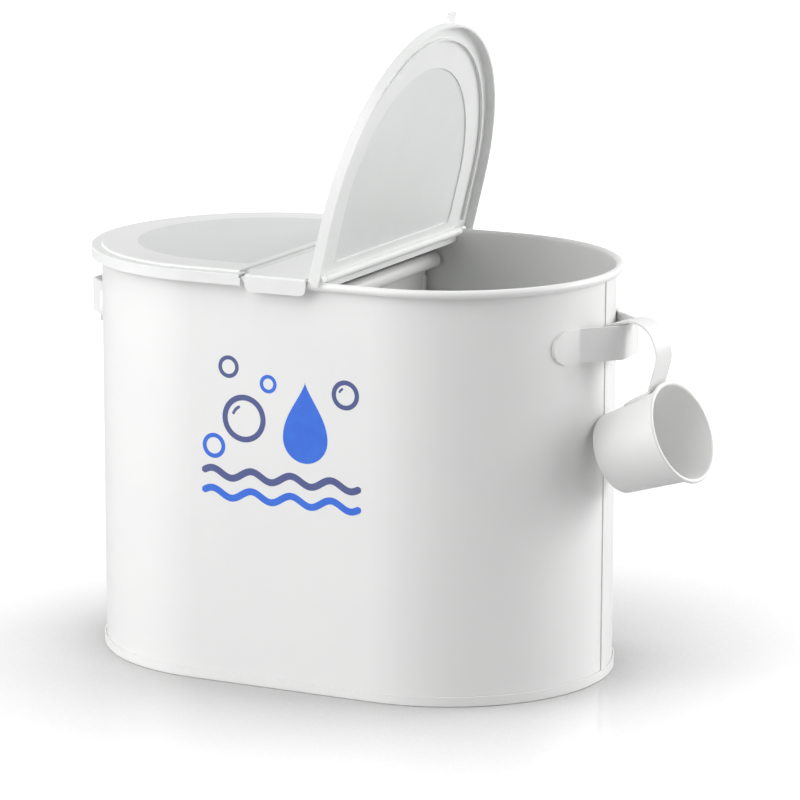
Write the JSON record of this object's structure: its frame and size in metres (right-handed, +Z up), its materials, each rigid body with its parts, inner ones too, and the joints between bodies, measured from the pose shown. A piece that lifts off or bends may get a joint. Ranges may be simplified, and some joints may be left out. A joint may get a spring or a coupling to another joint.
{
  "type": "detergent box",
  "caption": "Oval sheet-steel laundry powder box with a divider, a clip-on lid with two hinged flaps, strap handles and a hanging scoop.",
  "frame": {"origin": "centre of the base on the ground", "axes": "+X along the box towards the handle with the scoop, -Y out of the printed front, +Z up"},
  "size_m": [0.403, 0.2136, 0.3905],
  "materials": {
    "white_steel": "satin white powder coat",
    "lid_plastic": "milky polypropylene"
  },
  "bodies": {
    "box": {"base_pan": "white_steel", "body_shell": "white_steel", "divider_panel": "white_steel", "divider_channel_front": "white_steel", "divider_channel_rear": "white_steel", "handle_left": "white_steel", "handle_right": "white_steel", "lid_bridge": "lid_plastic", "scoop_base": "white_steel", "scoop_cup": "white_steel", "scoop_hook": "white_steel"},
    "left_flap": {"lid_flap_left": "lid_plastic"},
    "right_flap": {"lid_flap_right": "lid_plastic"}
  },
  "joints": [
    {"name": "left_flap_hinge", "type": "hinge", "parent": "box", "child": "left_flap", "pos_m": [-0.0228, 0, 0.2454], "axis": [0, 1, 0], "range_deg": [0, 95]},
    {"name": "right_flap_hinge", "type": "hinge", "parent": "box", "child": "right_flap", "pos_m": [0.0228, 0, 0.2454], "axis": [0, -1, 0], "range_deg": [-76.5, 18.5]}
  ]
}
